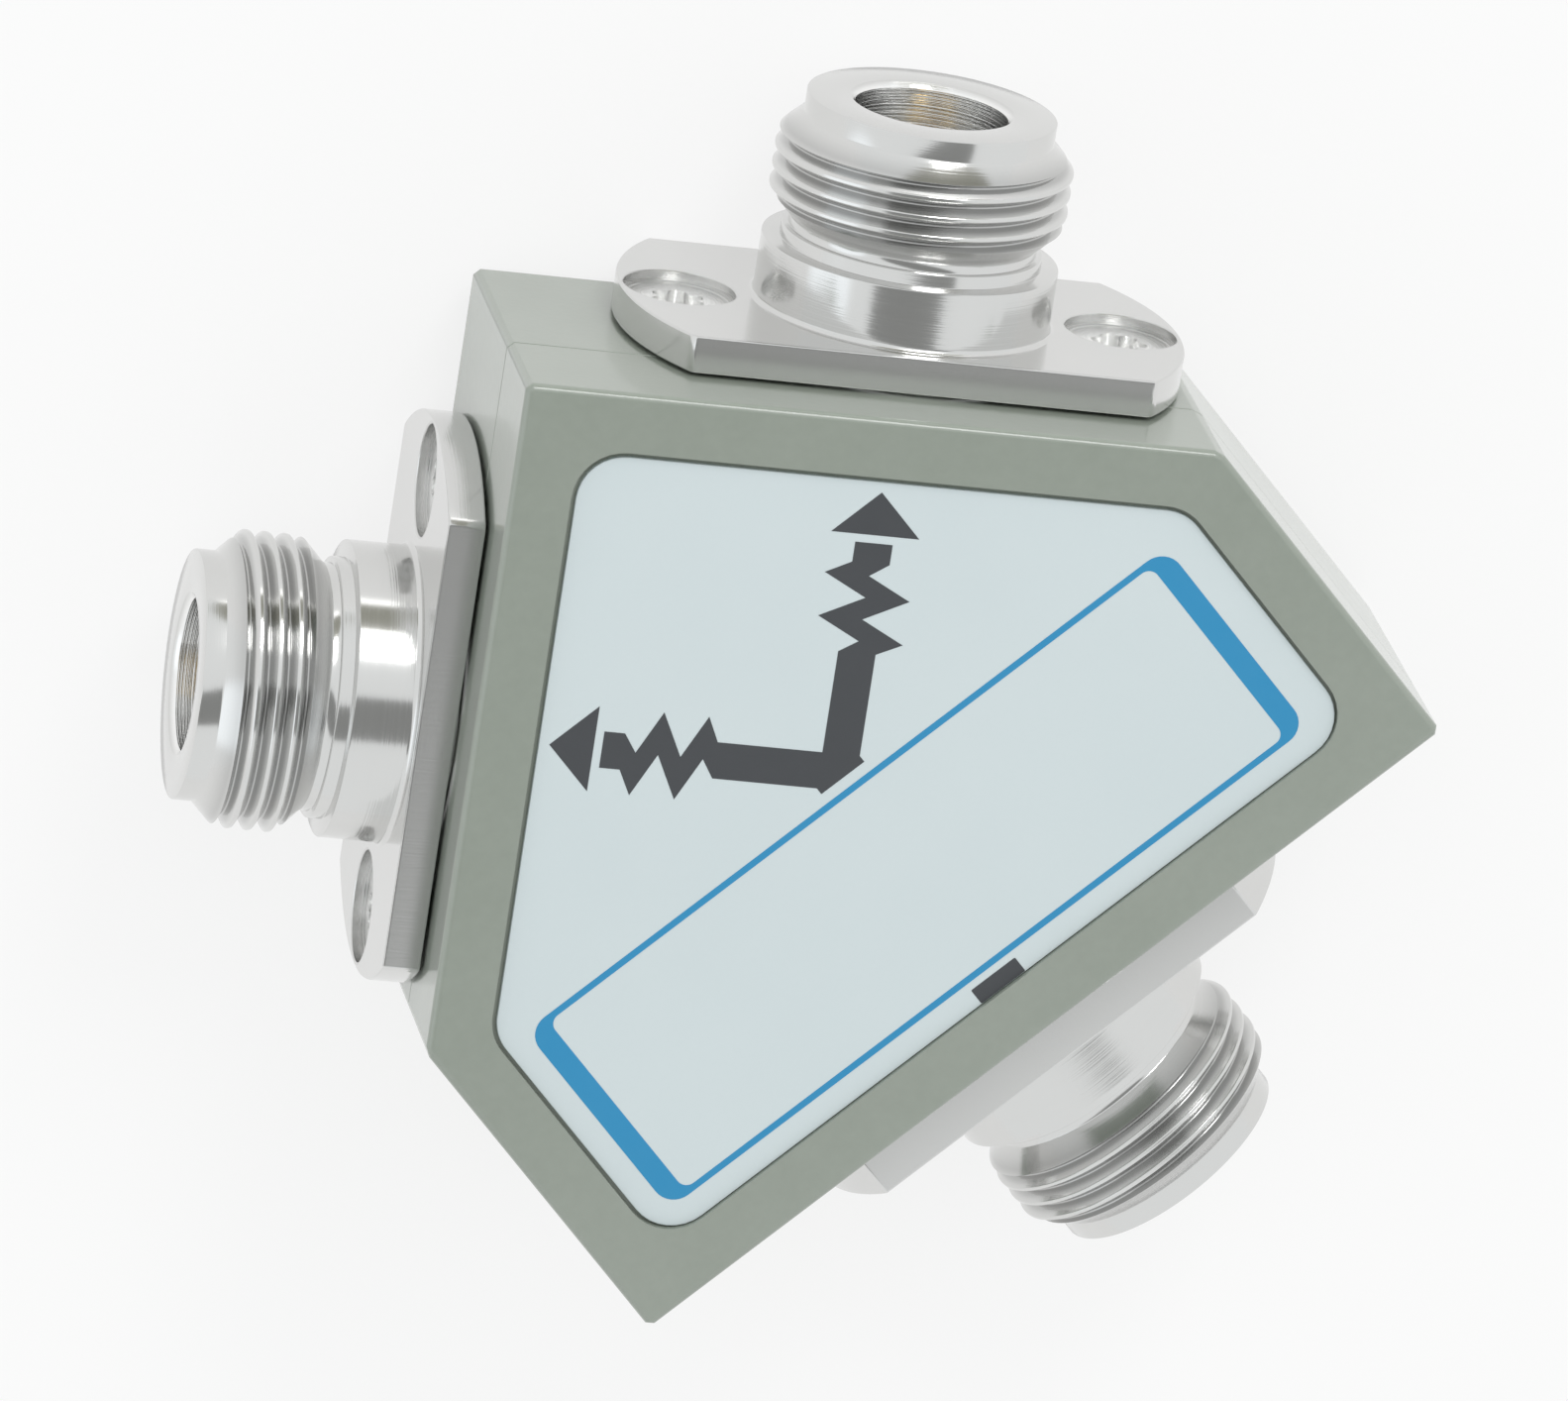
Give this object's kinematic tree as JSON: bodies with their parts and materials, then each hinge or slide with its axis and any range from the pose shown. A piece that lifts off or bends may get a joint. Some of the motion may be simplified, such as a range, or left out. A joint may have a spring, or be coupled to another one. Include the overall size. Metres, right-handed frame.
{
  "type": "rf power splitter",
  "caption": "House-shaped coaxial power splitter with a flanged threaded port in its base and in each roof face, and a recessed label plate on its front.",
  "frame": {"origin": "bottom centre of the bounding box, in the plane of the flanges' back flats that the part lies on", "axes": "+Z out of the label face, +Y to the apex of the roof, -Y out of the input port"},
  "size_m": [0.0588, 0.0608, 0.022],
  "materials": {
    "painted_housing": "fine textured satin paint",
    "label": "pale printed plate, satin",
    "turned_steel": "bright turned",
    "screw_steel": "bright",
    "gold_plating": "gold plated",
    "bead_plastic": "satin",
    "ceramic": "fired ceramic",
    "resistor_body": "matt film"
  },
  "bodies": {
    "root": {"main_body": "painted_housing", "front_cover": "painted_housing", "label_plate": "label", "cover_screws": "screw_steel", "flange_screws": "screw_steel", "input_connector_shell": "turned_steel", "left_output_connector_shell": "turned_steel", "right_output_connector_shell": "turned_steel", "input_center_contact": "gold_plating", "left_output_center_contact": "gold_plating", "right_output_center_contact": "gold_plating", "input_support_bead": "bead_plastic", "left_output_support_bead": "bead_plastic", "right_output_support_bead": "bead_plastic", "input_bead_retainer": "turned_steel", "left_output_bead_retainer": "turned_steel", "right_output_bead_retainer": "turned_steel", "ceramic_substrate": "ceramic", "junction_strip": "gold_plating", "left_output_strip": "gold_plating", "right_output_strip": "gold_plating", "left_resistor": "resistor_body", "right_resistor": "resistor_body"}
  },
  "joints": []
}
